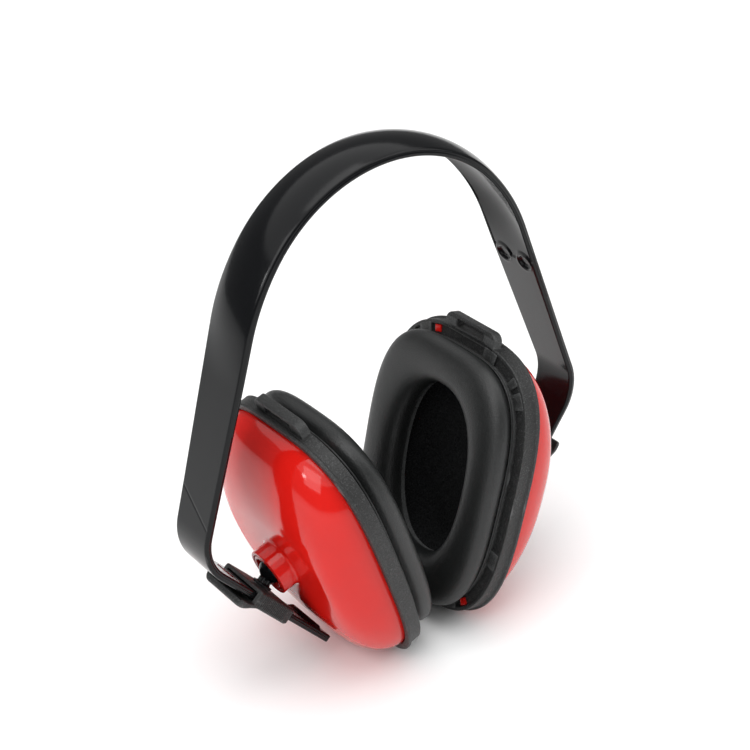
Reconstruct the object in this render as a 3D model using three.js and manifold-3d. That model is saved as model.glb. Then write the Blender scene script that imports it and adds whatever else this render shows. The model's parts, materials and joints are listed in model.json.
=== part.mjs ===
// Earmuff hearing protector: a moulded headband, and on each leg of it a slider clip whose ball stud
// carries an ear cup. Millimetres, +Z up. X runs from cup to cup, Y from front (-Y) to back, and the
// origin is at the middle of the headband's underside, where it rests on the head.
import * as THREE from 'three';
import { mergeVertices } from 'three/addons/utils/BufferGeometryUtils.js';
import Module from 'manifold-3d';

const wasm = await Module();
wasm.setup();

// ---------- Driving dimensions (millimetres and degrees) ----------
// Headband, measured along the edges of its outer face from the crown down to a leg's end
const CROWN_RADIUS = 55.5;
const CROWN_ARC = 50.5;
const SHOULDER_RADIUS = 74;
const SHOULDER_ARC = 20.5;
const SIDE_LENGTH = 66.8;
const ELBOW_RADIUS = 19;
const LEG_LEAN = 39;
const LEG_LENGTH = 59.5;
const BAND_WIDTH = 21;
const LEG_WIDTH = 17.5;
const BAND_THICKNESS = 2.6;
const BAND_EDGE_RADIUS = 0.8;
const CROWN_CAMBER = 2.2;
const CAMBER_RUN_OUT = 30;
const RECESS_DIAMETER = 6;
const RECESS_DEPTH = 0.9;
const RECESS_PITCH = 10.4;
const RECESS_STATION = 92;
const END_STOP_HEIGHT = 1.1;
const END_STOP_LENGTH = 5;
const END_STOP_INSET = 5;

// Slider clip that wraps a leg
const CLIP_LENGTH = 23;
const CLIP_PIN_PLACE = 14.2;
const LEG_PIN_PLACE = 25.44;
const CLIP_INNER_WALL = 1.2;
const CLIP_OUTER_WALL = 1.3;
const CLIP_SIDE_WALL = 1.8;
const CLIP_RIB_PITCH = 1.6;
const CLIP_RIB_DEPTH = 0.5;
const CLIP_COLLAR_LENGTH = 3.4;
const THUMB_TAB_LENGTH = 7;
const THUMB_TAB_THICKNESS = 2.9;
const THUMB_TAB_GAP = 1;
const THUMB_TAB_REACH = 5.5;
const SLIDE_CLEARANCE = 0.35;

// Ball stud and the socket that it turns in; the ball lies on the cup's axis
const STUD_HEIGHT = 7.05;
const BALL_OUT = 26.8;
const BALL_RADIUS = 4.9;
const NECK_RADIUS = 2.4;
const NECK_FLUTES = 8;
const NECK_FLUTE_DEPTH = 0.35;
const STUD_FOOT_RADIUS = 3.6;
const STUD_FOOT_HEIGHT = 0.9;
const SOCKET_RING_RADIUS = 7;
const SOCKET_RING_RISE = 2.6;
const SOCKET_LIP_RISE = 1.6;
const SOCKET_RING_DEPTH = 2.7;
const BALL_CLEARANCE = 0.3;
const BOSS_WALL = 1.3;
const BOSS_FLOOR = 1.8;

// Ear cup. Its own frame: u across it, v up it and w outward from the cushion side of the rim ring
const CUP_HALF_HEIGHT = 50;
const CUP_HALF_WIDTH = 37;
const CUP_SQUARENESS = 3.2;
const CUP_TAPER = 0.03;
const CUP_TILT = 16.5;
const SHELL_WALL = 2.2;
const SHELL_DOME_DEPTH = 17.2;
const SHELL_TOP_HALF_HEIGHT = 16;
const SHELL_TOP_HALF_WIDTH = 26;
const SHELL_TOP_SQUARENESS = 2.5;
const RIM_DEPTH = 6;
const RIM_WALL = 1.5;
const RIM_BEAD = 0.7;
const RIM_BEAD_DEPTH = 1.3;
const RIM_FLANGE_REACH = 7;
const RIM_FLANGE_THICKNESS = 1.6;
const STRAP_LOOP_LENGTH = 26;
const STRAP_LOOP_RISE = 4.4;
const STRAP_LOOP_BAR = 1.6;
const STRAP_LOOP_DEPTH = 3.6;
const STRAP_SLOT_LENGTH = 14;
const PLATE_THICKNESS = 1.6;
const PLATE_HOLE_MARGIN = 1;
const PLATE_HOLE_SQUARENESS = 2.2;
const PLATE_CLIP_WIDTH = 9;
const PLATE_CLIP_PLACE = 13;
const PLATE_CLIP_ROOT = 3.5;
const PLATE_CLIP_INSET = 1.5;
const CUSHION_INSET = 3;
const CUSHION_THICKNESS = 9;
const CUSHION_OPENING_HALF_HEIGHT = 31;
const CUSHION_OPENING_HALF_WIDTH = 18.5;
const CUSHION_OPENING_SQUARENESS = 2.3;
const CUSHION_ROUND_SHARE = 0.62;
const CUSHION_CROWN_SHARE = 0.36;
const CUSHION_SKIN = 0.9;
const LINER_FLOOR = 11;
const LINER_STEP = 4;
const LINER_SQUARENESS = 2.4;

const FIT_GAP = 0.3;
const OVERCUT = 1;

// How finely curves are cut
const OUTLINE_STEPS = 32;
const DOME_STEPS = 6;
const BALL_STEPS = 7;
const STUD_STEPS = 20;
const BOSS_STEPS = 24;
const SEAT_STEPS = 6;
const CUSHION_STEPS = 3;
const CORNER_STEPS = 4;
const RECESS_STEPS = 20;
const STOP_STEPS = 28;
const FLUTE_STEPS = 6;

const FINISHES = {
  headband: { color: 0x0b0c0d, roughness: 0.12, metalness: 0 },
  clip: { color: 0x1c1e1f, roughness: 0.55, metalness: 0 },
  shell: { color: 0xd81a14, roughness: 0.1, metalness: 0 },
  rim: { color: 0x222425, roughness: 0.65, metalness: 0 },
  cushion: { color: 0x26292a, roughness: 0.5, metalness: 0 },
  foam: { color: 0x121314, roughness: 0.95, metalness: 0 },
};

// ---------- Solids ----------
const rad = THREE.MathUtils.degToRad;

function volumeOf(positions, faces) {
  const [a, b, c] = [new THREE.Vector3(), new THREE.Vector3(), new THREE.Vector3()];
  let volume = 0;
  for (let i = 0; i < faces.length; i += 3) {
    a.fromArray(positions, 3 * faces[i]);
    b.fromArray(positions, 3 * faces[i + 1]);
    c.fromArray(positions, 3 * faces[i + 2]);
    volume += a.dot(b.cross(c)) / 6;
  }
  return volume;
}

function facesOut(positions, faces) {
  const order = volumeOf(positions, faces) < 0 ? [0, 2, 1] : [0, 1, 2];
  const turned = [];
  for (let i = 0; i < faces.length; i += 3) {
    order.forEach((k) => turned.push(faces[i + k]));
  }
  return turned;
}

// A closed body through rows of points. Each row is one closed outline with the same count of points.
// Its two ends are filled to the end rows' middles, or with ring the last row joins the first.
function loft(rows, ring = false) {
  const count = rows[0].length;
  const points = rows.flat();
  const faces = [];
  const bands = ring ? rows.length : rows.length - 1;
  for (let r = 0; r < bands; r++) {
    const near = r * count;
    const far = ((r + 1) % rows.length) * count;
    for (let i = 0; i < count; i++) {
      const j = (i + 1) % count;
      faces.push(near + i, near + j, far + j, near + i, far + j, far + i);
    }
  }
  if (!ring) {
    [0, rows.length - 1].forEach((r) => {
      const middle = new THREE.Vector3();
      rows[r].forEach((p) => middle.addScaledVector(p, 1 / count));
      points.push(middle);
      for (let i = 0; i < count; i++) {
        const pair = [r * count + i, r * count + ((i + 1) % count)];
        faces.push(points.length - 1, ...(r === 0 ? pair.reverse() : pair));
      }
    });
  }
  const positions = points.flatMap((p) => p.toArray());
  const geometry = new THREE.BufferGeometry();
  geometry.setAttribute('position', new THREE.Float32BufferAttribute(positions, 3));
  geometry.setIndex(faces);
  return toSolid(geometry);
}

function toSolid(geometry) {
  const plain = geometry.clone();
  plain.deleteAttribute('normal');
  plain.deleteAttribute('uv');
  const merged = mergeVertices(plain, 1e-4);
  const positions = merged.getAttribute('position').array;
  return new wasm.Manifold(new wasm.Mesh({
    numProp: 3,
    vertProperties: new Float32Array(positions),
    triVerts: new Uint32Array(facesOut(positions, merged.index.array)),
  }));
}

function toGeometry(solid) {
  const mesh = solid.getMesh();
  const geometry = new THREE.BufferGeometry();
  geometry.setAttribute('position', new THREE.BufferAttribute(mesh.vertProperties, 3));
  geometry.setIndex(new THREE.BufferAttribute(mesh.triVerts, 1));
  geometry.computeVertexNormals();
  return geometry;
}

const placed = (geometry, matrix) => toSolid(geometry.clone().applyMatrix4(matrix));

// ---------- Headband line ----------
const ELBOW_TURN = 90 + LEG_LEAN - CROWN_ARC - SHOULDER_ARC;
const BAND_STRETCHES = [
  { radius: CROWN_RADIUS, turn: CROWN_ARC, steps: 6 },
  { radius: SHOULDER_RADIUS, turn: SHOULDER_ARC, steps: 3 },
  { length: SIDE_LENGTH, steps: 4 },
  { radius: ELBOW_RADIUS, turn: ELBOW_TURN, steps: 6 },
  { length: LEG_LENGTH, steps: 1 },
];
const stretchLength = ({ radius, turn, length }) => length ?? radius * rad(turn);
const ELBOW_END = BAND_STRETCHES.slice(0, 4).reduce((sum, part) => sum + stretchLength(part), 0);
const BAND_END = ELBOW_END + LEG_LENGTH;

// The outer face's edge at a distance along the band: its point, direction of travel and outward normal
function bandStation(distance) {
  const point = new THREE.Vector3(0, 0, BAND_THICKNESS - CROWN_CAMBER);
  let heading = 0;
  let left = distance;
  for (const part of BAND_STRETCHES) {
    const run = Math.min(left, stretchLength(part));
    const before = heading;
    if (part.radius) {
      heading += run / part.radius;
      point.x += part.radius * (Math.sin(heading) - Math.sin(before));
      point.z -= part.radius * (Math.cos(before) - Math.cos(heading));
    } else {
      point.x += run * Math.cos(heading);
      point.z -= run * Math.sin(heading);
    }
    left -= run;
    if (left <= 0) break;
  }
  const along = new THREE.Vector3(Math.cos(heading), 0, -Math.sin(heading));
  const out = new THREE.Vector3(Math.sin(heading), 0, Math.cos(heading));
  return { point, along, out };
}

// A frame on the band: x runs down the band, y to the back and z out of the outer face
function bandFrame(distance) {
  const { point, along, out } = bandStation(distance);
  const back = new THREE.Vector3().crossVectors(out, along);
  return new THREE.Matrix4().makeBasis(along, back, out).setPosition(point);
}

const CAMBER_END = RECESS_STATION - CAMBER_RUN_OUT;

function camberAt(distance) {
  return CROWN_CAMBER * (1 - THREE.MathUtils.smoothstep(distance, CAMBER_END, RECESS_STATION));
}

// The band narrows from where its camber runs out down to the leg
function widthAt(distance) {
  const narrowed = THREE.MathUtils.smoothstep(distance, CAMBER_END, ELBOW_END);
  return THREE.MathUtils.lerp(BAND_WIDTH, LEG_WIDTH, narrowed);
}

function bandSection() {
  const [w, t, r] = [BAND_WIDTH / 2, BAND_THICKNESS, BAND_EDGE_RADIUS];
  const shape = new THREE.Shape();
  shape.absarc(w - r, -r, r, Math.PI / 2, 0, true);
  shape.absarc(w - r, r - t, r, 0, -Math.PI / 2, true);
  shape.absarc(r - w, r - t, r, -Math.PI / 2, -Math.PI, true);
  shape.absarc(r - w, -r, r, Math.PI, Math.PI / 2, true);
  const corners = shape.getPoints(2).filter((p, i, all) => i === 0 || p.distanceTo(all[i - 1]) > 1e-6);
  return corners.flatMap((p, i) => {
    const next = corners[(i + 1) % corners.length];
    const parts = Math.abs(next.x - p.x) > w ? 4 : 1;
    return Array.from({ length: parts }, (_, k) => p.clone().lerp(next, k / parts));
  });
}

function bandRow(section, distance) {
  const camber = camberAt(Math.abs(distance));
  const narrowing = widthAt(Math.abs(distance)) / BAND_WIDTH;
  const side = Math.sign(distance) || 1;
  const { point, out } = bandStation(Math.abs(distance));
  return section.map(({ x, y }) => {
    const height = y + camber * (1 - (2 * x / BAND_WIDTH) ** 2);
    const place = point.clone().addScaledVector(out, height);
    return new THREE.Vector3(side * place.x, narrowing * x, place.z);
  });
}

function bandDistances() {
  const half = [];
  let start = 0;
  BAND_STRETCHES.forEach((part) => {
    for (let k = 1; k <= part.steps; k++) half.push(start + (k / part.steps) * stretchLength(part));
    start += stretchLength(part);
  });
  return [...half.map((d) => -d).reverse(), 0, ...half];
}

function buildHeadband() {
  const section = bandSection();
  let band = loft(bandDistances().map((distance) => bandRow(section, distance)));
  const stopRadius = (END_STOP_HEIGHT ** 2 + (END_STOP_LENGTH / 2) ** 2) / (2 * END_STOP_HEIGHT);
  const stopDepth = BAND_THICKNESS + END_STOP_HEIGHT - stopRadius;
  const recessRadius = RECESS_DIAMETER / 2;
  const recess = new THREE.CylinderGeometry(recessRadius, recessRadius, 2 * RECESS_DEPTH, RECESS_STEPS);
  const stopWidth = LEG_WIDTH - 2 * BAND_EDGE_RADIUS;
  const stop = new THREE.CylinderGeometry(stopRadius, stopRadius, stopWidth, STOP_STEPS);
  stop.translate(0, 0, -stopDepth);
  recess.rotateX(Math.PI / 2).translate(0, 0, -BAND_THICKNESS);
  [0, Math.PI].forEach((turn) => {
    const side = new THREE.Matrix4().makeRotationZ(turn);
    const stopAt = bandFrame(BAND_END - END_STOP_INSET - END_STOP_LENGTH / 2).premultiply(side);
    band = band.add(placed(stop, stopAt));
    [-1, 1].forEach((hand) => {
      const recessAt = bandFrame(RECESS_STATION).premultiply(side);
      recessAt.multiply(new THREE.Matrix4().makeTranslation(0, hand * RECESS_PITCH / 2, 0));
      band = band.subtract(placed(recess, recessAt));
    });
  });
  return band;
}

// ---------- Places of the pin, the ball and the cup ----------
// The stud stands square on the leg. The ball at its end lies on the cup's axis, and so places the cup.
const CLIP_INNER_FACE = BAND_THICKNESS + SLIDE_CLEARANCE + CLIP_INNER_WALL;
const PIN_STATION = ELBOW_END + LEG_PIN_PLACE;
const legFrame = bandFrame(PIN_STATION);
const clipFrame = bandFrame(PIN_STATION + CLIP_LENGTH / 2 - CLIP_PIN_PLACE);
const legAlong = new THREE.Vector3().setFromMatrixColumn(legFrame, 0);
const legOut = new THREE.Vector3().setFromMatrixColumn(legFrame, 2);
const ballCentre = new THREE.Vector3()
  .setFromMatrixPosition(legFrame)
  .addScaledVector(legOut, -(STUD_HEIGHT + FIT_GAP + CLIP_INNER_FACE));

const CUP_AXIS = new THREE.Vector3(Math.cos(rad(CUP_TILT)), 0, -Math.sin(rad(CUP_TILT)));
const CUP_UP = new THREE.Vector3(Math.sin(rad(CUP_TILT)), 0, Math.cos(rad(CUP_TILT)));
const cupFrame = new THREE.Matrix4()
  .makeBasis(new THREE.Vector3(0, 1, 0), CUP_UP, CUP_AXIS)
  .setPosition(ballCentre.clone().addScaledVector(CUP_AXIS, -BALL_OUT));

// ---------- Slider clip: x runs down the leg, y to the back and z out from the leg's outer face ----------
const CLIP_TOP = SLIDE_CLEARANCE + CLIP_OUTER_WALL;
const TAB_LOW = SLIDE_CLEARANCE + THUMB_TAB_GAP;
const TAB_TOP = TAB_LOW + THUMB_TAB_THICKNESS;
const CLIP_SLOT_WIDTH = LEG_WIDTH + 2 * SLIDE_CLEARANCE;
const CLIP_WIDTH = CLIP_SLOT_WIDTH + 2 * CLIP_SIDE_WALL;

// The side view: a thin sleeve whose outer wall swells at the upper end into a thumb tab
function clipOutline() {
  const half = CLIP_LENGTH / 2;
  const outline = new THREE.Shape();
  outline.moveTo(-half, -CLIP_INNER_FACE);
  outline.lineTo(half, -CLIP_INNER_FACE);
  outline.lineTo(half, CLIP_TOP);
  outline.lineTo(THUMB_TAB_LENGTH - half, CLIP_TOP);
  const [slopeAt, slopeHeight] = [THUMB_TAB_LENGTH / 3 - half, (CLIP_TOP + TAB_TOP) / 2];
  outline.quadraticCurveTo(THUMB_TAB_LENGTH / 2 - half, CLIP_TOP, slopeAt, slopeHeight);
  outline.quadraticCurveTo(THUMB_TAB_LENGTH / 6 - half, TAB_TOP, -half, TAB_TOP);
  outline.closePath();
  return outline;
}

// The hollow that lets a thumb nail in between the tab and the leg
function tabHollow() {
  const half = CLIP_LENGTH / 2;
  const outline = new THREE.Shape();
  outline.moveTo(-half - OVERCUT, 0);
  outline.lineTo(THUMB_TAB_LENGTH / 2 - half, 0);
  outline.lineTo(THUMB_TAB_LENGTH / 2 - half, SLIDE_CLEARANCE);
  outline.quadraticCurveTo(THUMB_TAB_LENGTH / 4 - half, TAB_LOW, -half - OVERCUT, TAB_LOW);
  outline.closePath();
  return outline;
}

function acrossLeg(outline, width) {
  const settings = { depth: width, bevelEnabled: false, curveSegments: CORNER_STEPS };
  const bar = new THREE.ExtrudeGeometry(outline, settings);
  return placed(bar.translate(0, 0, -width / 2).rotateX(Math.PI / 2), clipFrame);
}

function buildSliderClip() {
  const slotHeight = BAND_THICKNESS + 2 * SLIDE_CLEARANCE;
  const slot = new THREE.BoxGeometry(2 * CLIP_LENGTH, CLIP_SLOT_WIDTH, slotHeight);
  slot.translate(0, 0, SLIDE_CLEARANCE - slotHeight / 2);
  // The tab reaches up past the sleeve's mouth, on the leg's outer side only
  const mouth = new THREE.BoxGeometry(2 * THUMB_TAB_REACH, 2 * CLIP_WIDTH, 2 * CLIP_INNER_FACE);
  mouth.translate(-CLIP_LENGTH / 2, 0, SLIDE_CLEARANCE - CLIP_INNER_FACE);
  const throughSlot = placed(slot, clipFrame);
  const sleeve = acrossLeg(clipOutline(), CLIP_WIDTH).subtract(acrossLeg(tabHollow(), CLIP_SLOT_WIDTH));
  let clip = sleeve.subtract(throughSlot).subtract(placed(mouth, clipFrame));
  const ribs = Math.floor((CLIP_LENGTH - CLIP_COLLAR_LENGTH - THUMB_TAB_LENGTH) / CLIP_RIB_PITCH);
  for (let k = 0; k < ribs; k++) {
    const rib = new THREE.BoxGeometry(CLIP_RIB_PITCH / 2, CLIP_WIDTH + 2 * CLIP_RIB_DEPTH, CLIP_INNER_FACE);
    const ribPlace = CLIP_LENGTH / 2 - CLIP_COLLAR_LENGTH - (k + 0.5) * CLIP_RIB_PITCH;
    rib.translate(ribPlace, 0, -CLIP_INNER_FACE / 2);
    clip = clip.add(placed(rib, clipFrame).subtract(throughSlot));
  }
  return clip;
}

// ---------- Ball stud: turned about its pin, which is square to the leg ----------
function studFrame() {
  const inward = legOut.clone().negate();
  const across = new THREE.Vector3().crossVectors(inward, legAlong);
  return new THREE.Matrix4().makeBasis(across, inward, legAlong).setPosition(ballCentre);
}

function buildBallStud() {
  const foot = -STUD_HEIGHT;
  const ballStart = Math.asin(NECK_RADIUS / BALL_RADIUS);
  const profile = [
    new THREE.Vector2(0, foot),
    new THREE.Vector2(STUD_FOOT_RADIUS, foot),
    new THREE.Vector2(STUD_FOOT_RADIUS, foot + STUD_FOOT_HEIGHT),
    new THREE.Vector2(NECK_RADIUS, foot + STUD_FOOT_HEIGHT + FIT_GAP),
  ];
  for (let k = 0; k <= BALL_STEPS; k++) {
    const angle = ballStart + (k / BALL_STEPS) * (Math.PI - ballStart);
    const radius = k === BALL_STEPS ? 0 : BALL_RADIUS * Math.sin(angle);
    profile.push(new THREE.Vector2(radius, -BALL_RADIUS * Math.cos(angle)));
  }
  let stud = placed(new THREE.LatheGeometry(profile, STUD_STEPS), studFrame());
  const fluteTop = -BALL_RADIUS * Math.cos(ballStart) - FIT_GAP;
  const fluteLength = fluteTop - (foot + STUD_FOOT_HEIGHT + FIT_GAP);
  const flute = new THREE.CylinderGeometry(NECK_FLUTE_DEPTH, NECK_FLUTE_DEPTH, fluteLength, FLUTE_STEPS);
  flute.translate(NECK_RADIUS, fluteTop - fluteLength / 2, 0);
  for (let k = 0; k < NECK_FLUTES; k++) {
    const turn = new THREE.Matrix4().makeRotationY((2 * Math.PI * k) / NECK_FLUTES);
    stud = stud.subtract(placed(flute, turn.premultiply(studFrame())));
  }
  return stud;
}

// ---------- Ear cup pieces, in the cup's frame ----------
function cupRow(inset, w, halfWidth = CUP_HALF_WIDTH, halfHeight = CUP_HALF_HEIGHT, square = CUP_SQUARENESS) {
  return Array.from({ length: OUTLINE_STEPS }, (_, k) => {
    const angle = (2 * Math.PI * k) / OUTLINE_STEPS;
    const [c, s] = [Math.cos(angle), Math.sin(angle)];
    const v = Math.sign(s) * Math.abs(s) ** (2 / square);
    const u = Math.sign(c) * Math.abs(c) ** (2 / square) * (1 + CUP_TAPER * v);
    return new THREE.Vector3(u * (halfWidth - inset), v * (halfHeight - inset), w);
  });
}

const inCup = (rows, ring) => loft(rows.map((row) => row.map((p) => p.clone().applyMatrix4(cupFrame))), ring);
const inCupShape = (geometry) => placed(geometry, cupFrame);

// The dome's outline shrinks from the rim to its flat top along a rounded shoulder
function domeRows(offset) {
  const rows = [];
  const depth = SHELL_DOME_DEPTH - offset;
  const inset = RIM_WALL + FIT_GAP + offset;
  for (let k = 0; k <= DOME_STEPS; k++) {
    const angle = (k / DOME_STEPS) * Math.PI / 2;
    const inward = 1 - Math.cos(angle);
    const halfWidth = THREE.MathUtils.lerp(CUP_HALF_WIDTH - inset, SHELL_TOP_HALF_WIDTH, inward);
    const halfHeight = THREE.MathUtils.lerp(CUP_HALF_HEIGHT - inset, SHELL_TOP_HALF_HEIGHT, inward);
    const square = THREE.MathUtils.lerp(CUP_SQUARENESS, SHELL_TOP_SQUARENESS, k / DOME_STEPS);
    rows.push(cupRow(0, RIM_DEPTH + depth * Math.sin(angle), halfWidth, halfHeight, square));
  }
  return rows;
}

const SOCKET_POCKET_RADIUS = SOCKET_RING_RADIUS + FIT_GAP;
const SOCKET_POCKET_FLOOR = BALL_OUT - BALL_RADIUS - BALL_CLEARANCE - FIT_GAP;
const BOSS_TOP = BALL_OUT + SOCKET_RING_RISE;

const disc = (radius, from, to) => new THREE.CylinderGeometry(radius, radius, to - from, BOSS_STEPS)
  .rotateX(Math.PI / 2)
  .translate(0, 0, (from + to) / 2);

function buildCupShell() {
  const skirtFrom = RIM_FLANGE_THICKNESS + FIT_GAP;
  const outer = domeRows(0);
  outer.unshift(cupRow(RIM_WALL + FIT_GAP, skirtFrom));
  const inner = domeRows(SHELL_WALL);
  inner.unshift(cupRow(RIM_WALL + FIT_GAP + SHELL_WALL, -OVERCUT));
  const boss = disc(SOCKET_POCKET_RADIUS + BOSS_WALL, SOCKET_POCKET_FLOOR - BOSS_FLOOR, BOSS_TOP);
  const pocket = disc(SOCKET_POCKET_RADIUS, SOCKET_POCKET_FLOOR, BOSS_TOP + OVERCUT);
  return inCup(outer).subtract(inCup(inner)).add(inCupShape(boss)).subtract(inCupShape(pocket));
}

function buildSocketRing() {
  const seat = BALL_RADIUS + BALL_CLEARANCE;
  const from = -SOCKET_RING_DEPTH;
  const startAngle = Math.asin(from / seat);
  const lipAngle = Math.asin(SOCKET_LIP_RISE / seat);
  const profile = [];
  for (let k = 0; k <= SEAT_STEPS; k++) {
    const angle = THREE.MathUtils.lerp(startAngle, lipAngle, k / SEAT_STEPS);
    profile.push(new THREE.Vector2(seat * Math.cos(angle), seat * Math.sin(angle)));
  }
  const lipRadius = seat * Math.cos(lipAngle);
  const flare = SOCKET_RING_RISE - SOCKET_LIP_RISE;
  profile.push(new THREE.Vector2(lipRadius + flare, SOCKET_RING_RISE));
  profile.push(new THREE.Vector2(SOCKET_RING_RADIUS, SOCKET_RING_RISE));
  profile.push(new THREE.Vector2(SOCKET_RING_RADIUS, from));
  profile.push(profile[0].clone());
  const ring = new THREE.LatheGeometry(profile, BOSS_STEPS).rotateX(Math.PI / 2).translate(0, 0, BALL_OUT);
  return inCupShape(ring);
}

function strapLoop() {
  const outline = new THREE.Shape();
  const [half, rise, bar] = [STRAP_LOOP_LENGTH / 2, STRAP_LOOP_RISE, STRAP_LOOP_BAR];
  outline.moveTo(-half, -RIM_WALL);
  outline.lineTo(half, -RIM_WALL);
  outline.lineTo(half, rise - 2 * bar);
  outline.absarc(half - 2 * bar, rise - 2 * bar, 2 * bar, 0, Math.PI / 2, false);
  outline.absarc(2 * bar - half, rise - 2 * bar, 2 * bar, Math.PI / 2, Math.PI, false);
  outline.closePath();
  const slotHalf = STRAP_SLOT_LENGTH / 2;
  const slot = new THREE.Path();
  slot.moveTo(-slotHalf, FIT_GAP);
  slot.lineTo(-slotHalf, rise - bar);
  slot.lineTo(slotHalf, rise - bar);
  slot.lineTo(slotHalf, FIT_GAP);
  slot.closePath();
  outline.holes.push(slot);
  const settings = { depth: STRAP_LOOP_DEPTH, bevelEnabled: false, curveSegments: CORNER_STEPS };
  const loop = new THREE.ExtrudeGeometry(outline, settings);
  return loop.translate(0, CUP_HALF_HEIGHT, 0);
}

function buildRimRing() {
  const section = [
    [0, 0],
    [0, RIM_DEPTH - RIM_BEAD_DEPTH],
    [-RIM_BEAD, RIM_DEPTH - RIM_BEAD_DEPTH],
    [-RIM_BEAD, RIM_DEPTH],
    [RIM_WALL, RIM_DEPTH],
    [RIM_WALL, RIM_FLANGE_THICKNESS],
    [RIM_FLANGE_REACH, RIM_FLANGE_THICKNESS],
    [RIM_FLANGE_REACH, 0],
  ];
  const ring = inCup(section.map(([inset, w]) => cupRow(inset, w)), true);
  return ring.add(inCupShape(strapLoop()));
}

// The plate lies against the rim ring's flange, and its clips reach out to the ring's outer wall
function buildCushionPlate() {
  const [near, far] = [-FIT_GAP - PLATE_THICKNESS, -FIT_GAP];
  const holeWidth = CUSHION_OPENING_HALF_WIDTH + PLATE_HOLE_MARGIN;
  const holeHeight = CUSHION_OPENING_HALF_HEIGHT + PLATE_HOLE_MARGIN;
  const plate = inCup([cupRow(CUSHION_INSET, near), cupRow(CUSHION_INSET, far)]);
  const holeEnds = [near - OVERCUT, far + OVERCUT];
  const hole = inCup(holeEnds.map((w) => cupRow(0, w, holeWidth, holeHeight, PLATE_HOLE_SQUARENESS)));
  let body = plate.subtract(hole);
  const clipInner = CUP_HALF_HEIGHT - CUSHION_INSET - PLATE_CLIP_ROOT;
  const clipOuter = CUP_HALF_HEIGHT - PLATE_CLIP_INSET;
  [[1, 1], [-1, 1], [1, -1], [-1, -1]].forEach(([side, end]) => {
    const clip = new THREE.BoxGeometry(PLATE_CLIP_WIDTH, clipOuter - clipInner, PLATE_THICKNESS);
    clip.translate(side * PLATE_CLIP_PLACE, end * (clipInner + clipOuter) / 2, (near + far) / 2);
    body = body.add(inCupShape(clip));
  });
  return body;
}

// The cushion's section runs from its outer wall over a rounded face and down into the ear opening
const CUSHION_BACK = -2 * FIT_GAP - PLATE_THICKNESS;

function cushionRows(skin) {
  const back = skin > 0 ? CUSHION_BACK + FIT_GAP : CUSHION_BACK;
  const outerWidth = CUP_HALF_WIDTH - CUSHION_INSET - skin;
  const outerHeight = CUP_HALF_HEIGHT - CUSHION_INSET - skin;
  const innerWidth = CUSHION_OPENING_HALF_WIDTH + skin;
  const innerHeight = CUSHION_OPENING_HALF_HEIGHT + skin;
  const face = CUSHION_BACK - CUSHION_THICKNESS + skin;
  const round = (CUSHION_THICKNESS - skin) * CUSHION_ROUND_SHARE;
  const share = (across) => [
    THREE.MathUtils.lerp(outerWidth, innerWidth, across),
    THREE.MathUtils.lerp(outerHeight, innerHeight, across),
    THREE.MathUtils.lerp(CUP_SQUARENESS, CUSHION_OPENING_SQUARENESS, across),
  ];
  const rows = [cupRow(0, back, ...share(0))];
  [0, 1].forEach((end) => {
    for (let k = 0; k <= CUSHION_STEPS; k++) {
      const angle = (k / CUSHION_STEPS) * Math.PI / 2;
      const turn = end ? Math.PI / 2 - angle : angle;
      const across = CUSHION_CROWN_SHARE * (1 - Math.cos(turn));
      const w = face + round * (1 - Math.sin(turn));
      rows.push(cupRow(0, w, ...share(end ? 1 - across : across)));
    }
  });
  rows.push(cupRow(0, back, ...share(1)));
  return rows;
}

function buildCushionSkin() {
  const inside = inCup(openBack(cushionRows(CUSHION_SKIN)), true);
  return inCup(cushionRows(0), true).subtract(inside);
}

const buildCushionFoam = () => inCup(cushionRows(CUSHION_SKIN + FIT_GAP), true);

// The skin is open at the back, where it is welded to the plate
function openBack(rows) {
  const beyond = (row) => row.map((p) => new THREE.Vector3(p.x, p.y, CUSHION_BACK + OVERCUT));
  return [beyond(rows[0]), ...rows, beyond(rows[rows.length - 1])];
}

// A bowl of foam that fills the dome behind the ear and leaves room for the socket's housing
function buildAcousticFoam() {
  const outer = domeRows(SHELL_WALL + FIT_GAP);
  outer[0] = cupRow(RIM_WALL + 2 * FIT_GAP + SHELL_WALL, RIM_DEPTH);
  const wellWidth = CUSHION_OPENING_HALF_WIDTH + LINER_STEP;
  const wellHeight = CUSHION_OPENING_HALF_HEIGHT + LINER_STEP;
  const well = [0, LINER_FLOOR].map((w) => cupRow(0, w, wellWidth, wellHeight, LINER_SQUARENESS));
  const housingFloor = SOCKET_POCKET_FLOOR - BOSS_FLOOR - FIT_GAP;
  const housing = disc(SOCKET_POCKET_RADIUS + BOSS_WALL + FIT_GAP, housingFloor, BOSS_TOP);
  return inCup(outer).subtract(inCup(well)).subtract(inCupShape(housing));
}

// ---------- Assembly ----------
const mesh = (name, solid, finish) => {
  const piece = new THREE.Mesh(toGeometry(solid), new THREE.MeshStandardMaterial(FINISHES[finish]));
  piece.name = name;
  return piece;
};

function buildSide(side, turn) {
  const group = new THREE.Group();
  group.rotation.z = turn;
  group.add(mesh(`slider_clip_${side}`, buildSliderClip(), 'clip'));
  group.add(mesh(`ball_stud_${side}`, buildBallStud(), 'clip'));
  group.add(mesh(`socket_ring_${side}`, buildSocketRing(), 'shell'));
  group.add(mesh(`cup_shell_${side}`, buildCupShell(), 'shell'));
  group.add(mesh(`rim_ring_${side}`, buildRimRing(), 'rim'));
  group.add(mesh(`cushion_plate_${side}`, buildCushionPlate(), 'rim'));
  group.add(mesh(`cushion_skin_${side}`, buildCushionSkin(), 'cushion'));
  group.add(mesh(`cushion_foam_${side}`, buildCushionFoam(), 'foam'));
  group.add(mesh(`acoustic_foam_${side}`, buildAcousticFoam(), 'foam'));
  return group;
}

const earmuff = new THREE.Group();
earmuff.add(mesh('headband', buildHeadband(), 'headband'));
earmuff.add(buildSide('right', 0));
earmuff.add(buildSide('left', Math.PI));

export default earmuff;
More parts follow.
